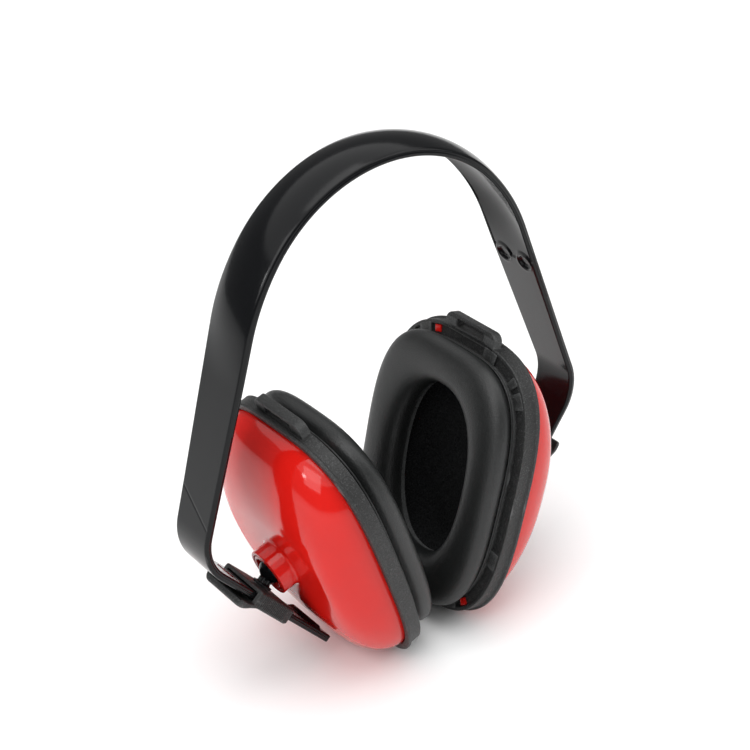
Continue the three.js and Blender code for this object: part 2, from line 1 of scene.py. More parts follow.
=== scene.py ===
# Earmuff hearing protector: a glossy moulded headband, a slider clip and ball stud on each leg, and
# two red ear cups with black rim rings, soft cushions and foam liners.
# Shapes are computed in millimetres in the part's frame and written to the meshes in metres.
import json
import math

import bmesh
import bpy
import numpy as np
from mathutils import Matrix, Vector


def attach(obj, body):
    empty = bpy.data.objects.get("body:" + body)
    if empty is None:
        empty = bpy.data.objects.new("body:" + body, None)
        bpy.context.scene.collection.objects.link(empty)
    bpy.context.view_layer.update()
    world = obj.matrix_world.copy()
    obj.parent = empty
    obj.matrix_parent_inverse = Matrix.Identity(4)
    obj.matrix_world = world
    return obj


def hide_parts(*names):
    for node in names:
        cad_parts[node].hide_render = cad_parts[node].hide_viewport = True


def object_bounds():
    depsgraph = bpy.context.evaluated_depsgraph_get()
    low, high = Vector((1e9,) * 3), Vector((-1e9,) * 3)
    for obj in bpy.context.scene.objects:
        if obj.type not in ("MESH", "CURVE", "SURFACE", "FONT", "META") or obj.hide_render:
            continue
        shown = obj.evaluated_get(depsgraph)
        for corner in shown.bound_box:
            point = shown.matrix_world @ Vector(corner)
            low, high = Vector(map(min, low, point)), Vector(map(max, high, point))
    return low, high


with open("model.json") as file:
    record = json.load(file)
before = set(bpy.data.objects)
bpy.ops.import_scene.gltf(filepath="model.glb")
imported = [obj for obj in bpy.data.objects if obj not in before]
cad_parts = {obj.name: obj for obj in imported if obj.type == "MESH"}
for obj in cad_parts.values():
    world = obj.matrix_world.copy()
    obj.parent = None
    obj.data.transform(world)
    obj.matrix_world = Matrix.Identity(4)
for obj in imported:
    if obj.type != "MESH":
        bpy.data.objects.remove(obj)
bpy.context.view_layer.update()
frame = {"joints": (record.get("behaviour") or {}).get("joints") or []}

# ---------- Driving values (millimetres and degrees), the same as the CAD model's ----------
CROWN_RADIUS = 55.5
CROWN_ARC = 50.5
SHOULDER_RADIUS = 74
SHOULDER_ARC = 20.5
SIDE_LENGTH = 66.8
ELBOW_RADIUS = 19
LEG_LEAN = 39
LEG_LENGTH = 59.5
BAND_WIDTH = 21
LEG_WIDTH = 17.5
BAND_THICKNESS = 2.6
BAND_EDGE = 0.8
CROWN_CAMBER = 2.2
CAMBER_RUN_OUT = 30
RECESS_RADIUS = 3
RECESS_DEPTH = 0.9
RECESS_PITCH = 10.4
RECESS_STATION = 92
END_STOP_HEIGHT = 1.1
END_STOP_LENGTH = 5
END_STOP_INSET = 5

CLIP_LENGTH = 23
CLIP_PIN_PLACE = 14.2
CLIP_INNER_WALL = 1.2
CLIP_OUTER_WALL = 1.3
CLIP_SIDE_WALL = 1.8
CLIP_RIB_PITCH = 0.8
CLIP_RIB_DEPTH = 0.4
CLIP_COLLAR = 3.4
CLIP_TOP_PLAIN = 1.6
TAB_LENGTH = 7
TAB_THICKNESS = 2.9
TAB_GAP = 1
TAB_REACH = 5.5
TAB_CORNER = 2.7
SLIDE_CLEARANCE = 0.35

BALL_OUT = 26.8
BALL_RADIUS = 4.9
NECK_RADIUS = 2.4
NECK_FLUTES = 8
FLUTE_DEPTH = 0.35
FOOT_RADIUS = 3.6
FOOT_HEIGHT = 0.9
RING_RADIUS = 7
RING_RISE = 2.6
LIP_RISE = 1.6
BALL_CLEARANCE = 0.3
BOSS_WALL = 1.3
BOSS_FLOOR = 1.8

CUP_HALF_HEIGHT = 50
CUP_HALF_WIDTH = 37
CUP_SQUARENESS = 3.2
CUP_TAPER = 0.03
SHELL_WALL = 2.2
DOME_DEPTH = 17.2
DOME_TOP_HALF_HEIGHT = 16
DOME_TOP_HALF_WIDTH = 26
DOME_TOP_SQUARENESS = 2.5
RIM_DEPTH = 6
RIM_WALL = 1.5
RIM_BEAD = 0.7
RIM_BEAD_DEPTH = 1.3
FLANGE_REACH = 7
FLANGE_THICKNESS = 1.6
CHANNEL_FLOOR = 1.1
CHANNEL_REACH = 4.9
LOOP_LENGTH = 26
LOOP_RISE = 4.4
LOOP_BAR = 1.6
LOOP_DEPTH = 3.6
LOOP_SLOT = 14
PLATE_THICKNESS = 1.6
CUSHION_INSET = 3
CUSHION_THICKNESS = 9
OPENING_HALF_HEIGHT = 31
OPENING_HALF_WIDTH = 18.5
LINER_FLOOR = 11
LINER_STEP = 4
GAP = 0.3

AROUND = 176
MM = 0.001
SIDES = {"right": 1, "left": -1}


def smooth(x, low, high):
    t = np.clip((np.asarray(x, float) - low) / (high - low), 0, 1)
    return t * t * (3 - 2 * t)


def mix(a, b, t):
    return a + (b - a) * t


# ---------- Meshes ----------
def loft(rows, ring=False):
    """A closed body through rows of points, each row one closed outline of the same count."""
    rows = np.asarray(rows, float)
    count, n = rows.shape[:2]
    faces = []
    for r in range(count if ring else count - 1):
        a, b = r * n, ((r + 1) % count) * n
        faces += [(a + i, a + (i + 1) % n, b + (i + 1) % n, b + i) for i in range(n)]
    if not ring:
        faces.append(tuple(reversed(range(n))))
        faces.append(tuple(range((count - 1) * n, count * n)))
    return rows.reshape(-1, 3), faces


def joined(parts):
    """Several bodies as one list of points and faces."""
    points, faces, start = [], [], 0
    for verts, polygons in parts:
        points.append(verts)
        faces += [tuple(i + start for i in face) for face in polygons]
        start += len(verts)
    return np.vstack(points), faces


def mesh_object(name, body, sharp=32):
    """An object from points in millimetres and faces, with its normals outward."""
    points, faces = body
    mesh = bpy.data.meshes.new(name)
    mesh.from_pydata((np.asarray(points) * MM).tolist(), [], faces)
    work = bmesh.new()
    work.from_mesh(mesh)
    bmesh.ops.recalc_face_normals(work, faces=work.faces)
    work.to_mesh(mesh)
    work.free()
    mesh.shade_smooth()
    mesh.set_sharp_from_angle(angle=math.radians(sharp))
    obj = bpy.data.objects.new(name, mesh)
    bpy.context.scene.collection.objects.link(obj)
    return obj


def turned(points, side):
    """The left side is the right side turned half round about Z."""
    return np.asarray(points) * (side, side, 1)


def place(name, body, material, rides, slot, nodes, sharp=32):
    obj = mesh_object(name, body, sharp)
    obj.data.materials.append(material)
    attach(obj, rides)
    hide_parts(*nodes)
    return obj


def evaluated(obj):
    """The object's mesh with its modifiers applied, as points in millimetres and faces."""
    depsgraph = bpy.context.evaluated_depsgraph_get()
    depsgraph.update()
    mesh = obj.evaluated_get(depsgraph).to_mesh()
    points = np.array([v.co[:] for v in mesh.vertices]) / MM
    faces = [tuple(p.vertices) for p in mesh.polygons]
    return points, faces


def discard(obj):
    data = obj.data
    bpy.data.objects.remove(obj)
    if data.users == 0:
        (bpy.data.meshes if isinstance(data, bpy.types.Mesh) else bpy.data.curves).remove(data)


# ---------- Frames ----------
JOINTS = {joint["name"]: joint for joint in frame["joints"]}
BALL = np.array(JOINTS["cup_spin_right"]["pos_m"]) / MM
CUP_AXIS = np.array(JOINTS["cup_spin_right"]["axis"])
CUP_UP = np.array([-CUP_AXIS[2], 0, CUP_AXIS[0]])
CUP_ACROSS = np.array([0.0, 1.0, 0.0])
CUP_CENTRE = BALL - BALL_OUT * CUP_AXIS
LEG_OUT = np.array([math.cos(math.radians(LEG_LEAN)), 0, -math.sin(math.radians(LEG_LEAN))])
LEG_ALONG = np.array([-math.sin(math.radians(LEG_LEAN)), 0, -math.cos(math.radians(LEG_LEAN))])
LEG_BACK = np.array([0.0, 1.0, 0.0])


def in_cup(points):
    """Points (u, v, w) in the cup's frame, as points in the part's frame."""
    points = np.asarray(points, float)
    basis = np.array([CUP_ACROSS, CUP_UP, CUP_AXIS])
    return CUP_CENTRE + points @ basis


# ---------- Headband ----------
ELBOW_TURN = 90 + LEG_LEAN - CROWN_ARC - SHOULDER_ARC
STRETCHES = [
    (CROWN_RADIUS, CROWN_RADIUS * math.radians(CROWN_ARC)),
    (SHOULDER_RADIUS, SHOULDER_RADIUS * math.radians(SHOULDER_ARC)),
    (None, SIDE_LENGTH),
    (ELBOW_RADIUS, ELBOW_RADIUS * math.radians(ELBOW_TURN)),
    (None, LEG_LENGTH),
]
ELBOW_END = sum(length for _, length in STRETCHES[:4])
ELBOW_START = sum(length for _, length in STRETCHES[:3])
BAND_END = ELBOW_END + LEG_LENGTH
CAMBER_END = RECESS_STATION - CAMBER_RUN_OUT


def station(distance):
    """The outer face's edge at a distance from the crown: its point and its outward normal."""
    x, z, heading, left = 0.0, BAND_THICKNESS - CROWN_CAMBER, 0.0, distance
    for radius, length in STRETCHES:
        run = min(left, length)
        if radius:
            after = heading + run / radius
            x += radius * (math.sin(after) - math.sin(heading))
            z -= radius * (math.cos(heading) - math.cos(after))
            heading = after
        else:
            x += run * math.cos(heading)
            z -= run * math.sin(heading)
        left -= run
        if left <= 0:
            break
    return np.array([x, 0, z]), np.array([math.sin(heading), 0, math.cos(heading)])


LEG_START = station(ELBOW_END)[0]
PIN_STATION = ELBOW_END + float((BALL - LEG_START) @ LEG_ALONG)
PIN = LEG_START + (PIN_STATION - ELBOW_END) * LEG_ALONG
BALL_DEPTH = float((PIN - BALL) @ LEG_OUT)


def on_leg(points):
    """Points (down the leg from the pin, to the back, out of the leg's outer face)."""
    points = np.asarray(points, float)
    basis = np.array([LEG_ALONG, LEG_BACK, LEG_OUT])
    return PIN + points @ basis


FACE_STEPS = 46
EDGE_STEPS = 5
EDGE_LINE_RISE = 0.12
EDGE_LINE_HEIGHTS = (0.2, 0.08, -0.08, -0.2)
INNER_STEP_DEPTH = 0.45
INNER_STEP_FADE = 45
INNER_STEP_FULL = 8
INNER_STEP_INSET = 0.6
INNER_STEP_BLUR = 0.35
SCALLOP_RADIUS = 4.0
RECESS_SLOPE = 0.9
RECESS_LIP_RISE = 0.1
RECESS_LIP_PLACE = 0.45
RECESS_LIP_WIDTH = 0.3
RIDGE_PLACE = 7.5
RIDGE_HALF_LENGTH = 4.5
RIDGE_HALF_WIDTH = 0.7
RIDGE_RISE = 0.22
RELIEF_BLUR = 0.3
DETENTS = ((49.5, -3.2), (46.5, 3.2))
DETENT_HALF_WIDTH = 0.7
DETENT_HALF_LENGTH = 2.2
DETENT_RISE = 0.22
CREASE_BEFORE_ELBOW = 7
CREASE_SLANT = 0.55
CREASE_WIDTH = 0.32
CREASE_DEPTH = 0.1
STATION_PITCH = 1.15
FINE_STATIONS = [
    (RECESS_STATION - 6, RECESS_STATION + 6, 0.34),
    (ELBOW_START - 14, ELBOW_START - 1, 0.3),
    (ELBOW_END + 6, ELBOW_END + 9, 0.25),
    (ELBOW_END + 44, BAND_END - 1, 0.3),
]
END_ROUND_LENGTH = 0.8
END_ROUND = 0.7


def band_section():
    """Points (x, y, face) round the section; face is 1 outside, -1 inside and 0 on an edge."""
    half, r = BAND_WIDTH / 2, BAND_EDGE
    flat = half - r
    outer = [(x, 0.0, 1) for x in np.linspace(-flat, flat, FACE_STEPS)]
    inner = [(x, -BAND_THICKNESS, -1) for x in np.linspace(flat, -flat, FACE_STEPS)]

    def corner(centre_x, centre_y, start):
        angles = np.radians(np.linspace(start, start - 90, EDGE_STEPS + 2)[1:-1])
        return [(centre_x + r * math.cos(a), centre_y + r * math.sin(a), 0) for a in angles]

    middle = -BAND_THICKNESS / 2

    def edge_line(x):
        reach = x + math.copysign(EDGE_LINE_RISE, x)
        line = [(px, middle + height, 0) for px, height in zip((x, reach, reach, x), EDGE_LINE_HEIGHTS)]
        return line if x > 0 else line[::-1]

    right = corner(flat, -r, 90) + edge_line(half) + corner(flat, r - BAND_THICKNESS, 0)
    left = corner(-flat, r - BAND_THICKNESS, -90) + edge_line(-half) + corner(-flat, -r, 180)
    return np.array(outer + right + inner + left)


def inner_relief(s, x):
    """How far the inner face stands in from its plain surface, at station s and x across."""
    beside = np.abs(np.abs(x) - RECESS_PITCH / 2)
    scallop = np.sqrt(np.maximum(SCALLOP_RADIUS**2 - beside**2, 0))
    line = RECESS_STATION - INNER_STEP_INSET - scallop
    thin = INNER_STEP_DEPTH * smooth(s, RECESS_STATION - INNER_STEP_FADE, RECESS_STATION - INNER_STEP_FULL)
    relief = -thin * (1 - smooth(s - line, -INNER_STEP_BLUR, INNER_STEP_BLUR))
    radius = np.hypot(beside, s - RECESS_STATION)
    relief -= RECESS_DEPTH * (1 - smooth(radius, RECESS_RADIUS - RECESS_SLOPE, RECESS_RADIUS + 0.05))
    lip = np.exp(-(((radius - RECESS_RADIUS - RECESS_LIP_PLACE) / RECESS_LIP_WIDTH) ** 2))
    relief += RECESS_LIP_RISE * lip * (s > line)
    ridge = smooth(RIDGE_HALF_LENGTH - np.abs(x), 0, RELIEF_BLUR)
    ridge = ridge * smooth(RIDGE_HALF_WIDTH - np.abs(s - ELBOW_END - RIDGE_PLACE), 0, RELIEF_BLUR)
    relief += RIDGE_RISE * ridge
    for place_s, place_x in DETENTS:
        along = (s - ELBOW_END - place_s) / DETENT_HALF_WIDTH
        from_detent = np.hypot(along, (x - place_x) / DETENT_HALF_LENGTH)
        relief += DETENT_RISE * (1 - smooth(from_detent, 0.4, 1.0))
    stop_radius = (END_STOP_HEIGHT**2 + (END_STOP_LENGTH / 2) ** 2) / (2 * END_STOP_HEIGHT)
    from_stop = s - (BAND_END - END_STOP_INSET - END_STOP_LENGTH / 2)
    hump = np.sqrt(np.maximum(stop_radius**2 - from_stop**2, 0)) - (stop_radius - END_STOP_HEIGHT)
    stop_edge = smooth(LEG_WIDTH / 2 - BAND_EDGE - 0.3 - np.abs(x), 0, 0.5)
    return relief + np.maximum(hump, 0) * stop_edge


def outer_relief(s, x, side):
    """How far the outer face stands out from its plain surface: a fine mould line before the elbow."""
    line = ELBOW_START - CREASE_BEFORE_ELBOW + CREASE_SLANT * x * side
    return -CREASE_DEPTH * np.exp(-(((s - line) / CREASE_WIDTH) ** 2))


def band_stations():
    """Distances from the crown to the band's end, closer together where there is relief."""
    stations, s = [0.0], 0.0
    while s < BAND_END - END_ROUND_LENGTH - 0.1:
        step = next((pitch for low, high, pitch in FINE_STATIONS if low <= s < high), STATION_PITCH)
        s = min(s + step, BAND_END - END_ROUND_LENGTH)
        stations.append(s)
    return stations + [BAND_END - 0.45, BAND_END - 0.15, BAND_END]


def end_rounding(s):
    """How far the band's end draws in on every face at station s."""
    past = 1 - min((BAND_END - s) / END_ROUND_LENGTH, 1)
    return END_ROUND * (1 - math.sqrt(max(0.0, 1 - past**2)))


def build_headband():
    section = band_section()
    x, y, face = section.T
    half = BAND_WIDTH / 2
    rows = []
    stations = band_stations()
    for signed in [-s for s in reversed(stations[1:])] + stations:
        s, side = abs(signed), (1 if signed >= 0 else -1)
        camber = CROWN_CAMBER * (1 - float(smooth(s, CAMBER_END, RECESS_STATION)))
        narrow = mix(BAND_WIDTH, LEG_WIDTH, float(smooth(s, CAMBER_END, ELBOW_END))) / BAND_WIDTH
        across = narrow * x
        height = y + camber * (1 - (x / half) ** 2)
        height = height - np.where(face < 0, inner_relief(s, across), 0)
        height = height + np.where(face > 0, outer_relief(s, across, side), 0)
        if s >= BAND_END - END_ROUND_LENGTH:
            drawn_in = end_rounding(s)
            height = np.clip(height, drawn_in - BAND_THICKNESS, -drawn_in)
            across = np.clip(across, drawn_in - LEG_WIDTH / 2, LEG_WIDTH / 2 - drawn_in)
        point, out = station(s)
        row = point + height[:, None] * out + np.outer(across, LEG_BACK)
        row[:, 0] *= side
        rows.append(row)
    return loft(rows)


# ---------- Slider clip: a tube of rounded sections round the leg ----------
CLIP_SECTION_STEPS = 22
CLIP_CORNER = 0.9
CLIP_END_ROUND = 0.5
CLIP_ROWS_PER_RIB = 6
CLIP_SLOT_CORNER = 0.3
COLLAR_RISE = 0.28
TAB_SWELL = 2.4
TAB_TIP_ROUND = 1.3
TAB_LIFT = 3


def tube_section(half_width, low, high, corner, top_corner=None):
    """A rounded rectangle in (across, out), with its own corner radius on the outer side."""
    top_corner = top_corner or corner
    t = np.linspace(0, 1, CLIP_SECTION_STEPS)
    radii = (top_corner, corner, corner, top_corner)
    centres = [(half_width - top_corner, high - top_corner), (half_width - corner, low + corner),
               (corner - half_width, low + corner), (top_corner - half_width, high - top_corner)]
    points = []
    for k in range(4):
        facing = math.radians(90 - 90 * k)
        (x0, y0), r0 = centres[k - 1], radii[k - 1]
        (x1, y1), r1 = centres[k], radii[k]
        x0, y0 = x0 + r0 * math.cos(facing), y0 + r0 * math.sin(facing)
        x2, y2 = x1 + r1 * math.cos(facing), y1 + r1 * math.sin(facing)
        points += list(zip(mix(x0, x2, t), mix(y0, y2, t)))
        angles = np.radians(90 - 90 * k - np.array([15, 30, 45, 60, 75]))
        points += [(x1 + r1 * math.cos(a), y1 + r1 * math.sin(a)) for a in angles]
    return np.array(points)


def rounding(distance, radius):
    """How far a rounded end draws in at a distance from its tip."""
    left = radius - min(distance, radius)
    return radius - math.sqrt(max(0.0, radius**2 - left**2))


def build_clip():
    upper, lower = -CLIP_PIN_PLACE, CLIP_LENGTH - CLIP_PIN_PLACE
    mouth = upper + TAB_REACH
    inner_face = -(BAND_THICKNESS + SLIDE_CLEARANCE + CLIP_INNER_WALL)
    half_slot = LEG_WIDTH / 2 + SLIDE_CLEARANCE
    half_width = half_slot + CLIP_SIDE_WALL
    top = SLIDE_CLEARANCE + CLIP_OUTER_WALL
    tab_top = SLIDE_CLEARANCE + TAB_GAP + TAB_THICKNESS
    tab_low = SLIDE_CLEARANCE + TAB_GAP
    rib_from, rib_to = mouth + CLIP_TOP_PLAIN, lower - CLIP_COLLAR
    ends = np.array([0, 0.08, 0.25, CLIP_END_ROUND])
    ribbed = np.arange(mouth + 0.75, lower - 0.55, CLIP_RIB_PITCH / CLIP_ROWS_PER_RIB)
    stations = np.concatenate([mouth + ends, ribbed, (lower - ends)[::-1]])
    outer_rows, inner_rows = [], []
    for s in stations:
        edge = rounding(min(s - mouth, lower - s), CLIP_END_ROUND)
        swell = 1 - float(smooth(s - upper, TAB_SWELL, TAB_LENGTH + 1.6))
        rise = mix(top, tab_top, swell)
        wave = 0.5 - 0.5 * math.cos(2 * math.pi * (s - rib_from) / CLIP_RIB_PITCH)
        rib = CLIP_RIB_DEPTH * wave**0.6 if rib_from < s < rib_to else 0.0
        collar = COLLAR_RISE * float(smooth(s, rib_to, rib_to + 0.4))
        section = tube_section(half_width - edge, inner_face + edge, rise - edge, CLIP_CORNER,
                               mix(CLIP_CORNER, TAB_CORNER, swell))
        sideways = smooth(np.abs(section[:, 0]), half_width - 1.2, half_width - 0.2)
        below = 1 - smooth(section[:, 1], top - 0.9, top - 0.1)
        section[:, 0] += np.sign(section[:, 0]) * (rib + collar) * sideways * below
        outer_rows.append([(s, px, py) for px, py in section])
        hollow = TAB_GAP * (1 - float(smooth(s - upper, TAB_LIFT, TAB_LENGTH)))
        slot = tube_section(half_slot, -BAND_THICKNESS - SLIDE_CLEARANCE, SLIDE_CLEARANCE + hollow,
                            CLIP_SLOT_CORNER)
        inner_rows.append([(s, px, py) for px, py in slot])
    sleeve = loft(np.array(outer_rows + inner_rows[::-1]), ring=True)
    tab_rows = []
    tip = upper + np.array([0, 0.1, 0.3, 0.6, 1.0, 1.4])
    for s in np.concatenate([tip, np.linspace(upper + 2, mouth + 1.2, 12)]):
        edge = rounding(s - upper, TAB_TIP_ROUND)
        lift = 1 - float(smooth(s - upper, TAB_LIFT, TAB_LENGTH))
        rise = mix(top, tab_top, 1 - float(smooth(s - upper, TAB_SWELL, TAB_LENGTH + 1.6)))
        low = mix(SLIDE_CLEARANCE + 0.1, tab_low, lift)
        thick = rise - low
        section = tube_section(half_width - 0.6 * edge, low + 0.25 * edge, rise - edge, 0.3,
                               min(TAB_CORNER, 0.86 * thick) - 0.8 * edge)
        tab_rows.append([(s, px, py) for px, py in section])
    verts, faces = joined([sleeve, loft(np.array(tab_rows))])
    return on_leg(verts), faces


# ---------- Turned pieces ----------
def lathe(profile, steps=72, flutes=None):
    """Rows of points turned about z from (radius, height) pairs; flutes gives what is cut from a radius."""
    angles = np.linspace(0, 2 * math.pi, steps, endpoint=False)
    rows = []
    for radius, height in profile:
        r = np.full(steps, radius)
        if flutes:
            r = r - flutes(radius, height, angles)
        rows.append(np.stack([r * np.cos(angles), r * np.sin(angles), np.full(steps, height)], axis=1))
    return np.array(rows)


def arc(centre, radius, start, end, steps):
    angles = np.radians(np.linspace(start, end, steps))
    return [(centre[0] + radius * math.cos(a), centre[1] + radius * math.sin(a)) for a in angles]


def build_stud():
    """Its foot stands on the clip; heights are measured from the ball's centre away from the leg."""
    foot = -(BALL_DEPTH - (BAND_THICKNESS + SLIDE_CLEARANCE + CLIP_INNER_WALL) - GAP)
    ball_start = -math.degrees(math.acos(NECK_RADIUS / BALL_RADIUS))
    neck_low = foot + FOOT_HEIGHT + 0.5
    neck_high = BALL_RADIUS * math.sin(math.radians(ball_start))
    profile = [(0.02, foot), (FOOT_RADIUS - 0.25, foot)]
    profile += arc((FOOT_RADIUS - 0.25, foot + FOOT_HEIGHT - 0.25), 0.25, 0, 90, 5)
    profile += arc((NECK_RADIUS + 0.5, foot + FOOT_HEIGHT + 0.5), 0.5, 270, 180, 5)
    profile += [(NECK_RADIUS, h) for h in np.linspace(neck_low + 0.1, neck_high - 0.15, 7)]
    profile += arc((0, 0), BALL_RADIUS, ball_start, 89.5, 26)

    def flutes(radius, height, angles):
        if radius >= NECK_RADIUS + 0.1:
            return 0 * angles
        runs_in = smooth(height, neck_low, neck_low + 0.4)
        runs_out = smooth(height, neck_high - 0.5, neck_high)
        depth = FLUTE_DEPTH * float(runs_in * (1 - runs_out))
        return depth * np.maximum(0, np.cos(NECK_FLUTES * angles)) ** 2

    verts, faces = loft(lathe(profile, 96, flutes))
    away = -LEG_OUT
    basis = np.array([np.cross(away, LEG_BACK), LEG_BACK, away])
    return BALL + verts @ basis, faces


def build_socket_ring():
    seat = BALL_RADIUS + BALL_CLEARANCE
    low = -0.55 * BALL_RADIUS
    lip_angle = math.degrees(math.asin(LIP_RISE / seat))
    profile = arc((0, 0), seat, math.degrees(math.asin(low / seat)), lip_angle, 12)
    lip = seat * math.cos(math.radians(lip_angle))
    flare = RING_RISE - LIP_RISE
    profile += [(lip + 0.12, LIP_RISE + 0.1), (lip + flare * 0.5, LIP_RISE + flare * 0.55)]
    profile += arc((lip + flare + 0.15, RING_RISE - 0.25), 0.25, 120, 90, 3)
    profile += arc((RING_RADIUS - 0.4, RING_RISE - 0.4), 0.4, 90, 0, 6)
    profile += [(RING_RADIUS, low)]
    verts, faces = loft(lathe(profile, 96), ring=True)
    return in_cup(verts + (0, 0, BALL_OUT)), faces


# ---------- Ear cup pieces ----------
def outline(half_width, half_height, square=CUP_SQUARENESS, n=AROUND):
    """Points spaced evenly round a superellipse that widens a little towards its top."""
    angle = np.linspace(0, 2 * math.pi, 3600, endpoint=False)
    c, s = np.cos(angle), np.sin(angle)
    v = np.sign(s) * np.abs(s) ** (2 / square)
    u = np.sign(c) * np.abs(c) ** (2 / square) * (1 + CUP_TAPER * v)
    points = np.stack([u * half_width, v * half_height], axis=1)
    closed = np.vstack([points, points[:1]])
    travelled = np.concatenate([[0], np.cumsum(np.linalg.norm(np.diff(closed, axis=0), axis=1))])
    stops = np.linspace(0, travelled[-1], n, endpoint=False)
    return np.stack([np.interp(stops, travelled, closed[:, k]) for k in (0, 1)], axis=1)


def level(flat, w):
    """A flat outline at a height in the cup's frame."""
    return np.column_stack([flat, np.broadcast_to(w, len(flat))])


def cup_row(inset, w):
    """The cup's outline drawn in, at a height in the cup's frame."""
    return level(outline(CUP_HALF_WIDTH - inset, CUP_HALF_HEIGHT - inset), w)


def circle(radius, w, n=AROUND):
    angle = np.linspace(0, 2 * math.pi, n, endpoint=False)
    return level(np.stack([radius * np.cos(angle), radius * np.sin(angle)], axis=1), w)


def dome_rows(offset, steps):
    rows = []
    inset = RIM_WALL + GAP + offset
    for k in range(steps + 1):
        angle = (k / steps) * math.pi / 2
        inward = 1 - math.cos(angle)
        width = mix(CUP_HALF_WIDTH - inset, DOME_TOP_HALF_WIDTH, inward)
        height = mix(CUP_HALF_HEIGHT - inset, DOME_TOP_HALF_HEIGHT, inward)
        square = mix(CUP_SQUARENESS, DOME_TOP_SQUARENESS, k / steps)
        w = RIM_DEPTH + (DOME_DEPTH - offset) * math.sin(angle)
        rows.append(level(outline(width, height, square), w))
    return rows


POCKET_RADIUS = RING_RADIUS + GAP
POCKET_FLOOR = BALL_OUT - BALL_RADIUS - BALL_CLEARANCE - GAP
BOSS_RADIUS = POCKET_RADIUS + BOSS_WALL
BOSS_TOP = BALL_OUT + RING_RISE
BOSS_FILLET = 1.1


def rows_between(first, last, steps):
    return [mix(first, last, t) for t in np.linspace(0, 1, steps + 2)[1:-1]]


def build_shell():
    skirt = FLANGE_THICKNESS + GAP
    inner = dome_rows(SHELL_WALL, 12)
    outer = dome_rows(0, 44)
    housing = [circle(0.05, POCKET_FLOOR - BOSS_FLOOR), circle(BOSS_RADIUS, POCKET_FLOOR - BOSS_FLOOR)]
    ceiling = circle(BOSS_RADIUS, RIM_DEPTH + DOME_DEPTH - SHELL_WALL)
    rows = housing + [ceiling] + rows_between(ceiling, inner[-1], 2) + inner[::-1]
    rows += [cup_row(RIM_WALL + GAP + SHELL_WALL, skirt), cup_row(RIM_WALL + GAP, skirt)] + outer
    top = RIM_DEPTH + DOME_DEPTH
    foot = circle(BOSS_RADIUS + BOSS_FILLET, top)
    rows += rows_between(outer[-1], foot, 14) + [foot]
    profile = arc((BOSS_RADIUS + BOSS_FILLET, top + BOSS_FILLET), BOSS_FILLET, 270, 180, 7)[1:]
    profile += arc((BOSS_RADIUS - 0.35, BOSS_TOP - 0.35), 0.35, 0, 90, 6)
    profile += arc((POCKET_RADIUS + 0.25, BOSS_TOP - 0.25), 0.25, 90, 180, 5)
    profile += [(POCKET_RADIUS, POCKET_FLOOR), (0.05, POCKET_FLOOR)]
    rows += [circle(radius, w) for radius, w in profile]
    verts, faces = loft(rows)
    tabs = [outline_block(place, RED_TAB_LENGTH, 1.7, 4.3, 0.55, FLANGE_THICKNESS - 0.05, 0.25)
            for place in RED_TABS]
    verts, faces = joined([(verts, faces)] + tabs)
    return in_cup(verts), faces


# Where the rim ring's blocks and the shell's latches stand along the cup's outline, as (u, v)
RED_TABS = [(16.6, 47.0), (-23.6, -44.0)]
RED_TAB_LENGTH = 3.4
BLOCKS = [((22.5, 45.0), 6.6), ((-12.0, 48.5), 6.6), ((-26.0, 43.0), 3.6), ((-31.0, 38.0), 6.4),
          ((-34.5, -21.0), 6.8), ((-17.6, -47.5), 6.6), ((34.5, 24.0), 6.6), ((34.5, -22.0), 6.6),
          ((14.0, -48.0), 6.6)]
FINE_OUTLINE = outline(CUP_HALF_WIDTH, CUP_HALF_HEIGHT, n=1440)


def outline_block(place, length, inset_from, inset_to, w_from, w_to, bevel):
    """A rounded block that follows the cup's outline, about its point nearest to place."""
    nearest = int(np.argmin(np.linalg.norm(FINE_OUTLINE - place, axis=1)))
    pitch = float(np.linalg.norm(FINE_OUTLINE[1] - FINE_OUTLINE[0]))
    half = length / 2
    end_stops = np.array([half / 2, half - bevel, half - 0.3 * bevel, half])
    stops = np.concatenate([-end_stops[::-1], [0], end_stops])
    rows = []
    for stop in stops:
        end = max(0.0, bevel - (half - abs(stop)))
        trim = bevel - math.sqrt(max(0.0, bevel**2 - end**2))
        centre = FINE_OUTLINE[(nearest + round(stop / pitch)) % len(FINE_OUTLINE)]
        ahead = FINE_OUTLINE[(nearest + round(stop / pitch) + 6) % len(FINE_OUTLINE)]
        direction = (ahead - centre) / np.linalg.norm(ahead - centre)
        inward = np.array([-direction[1], direction[0]])
        low, high = inset_from + trim, inset_to - trim
        bottom, top = w_from + trim, w_to - trim
        r = max(bevel - trim, 0.02)
        corners = [((low + r, bottom + r), 180), ((high - r, bottom + r), 270),
                   ((high - r, top - r), 0), ((low + r, top - r), 90)]
        section = [point for corner, start in corners for point in arc(corner, r, start, start + 90, 4)]
        rows.append([(*(centre + inset * inward), w) for inset, w in section])
    return loft(rows)


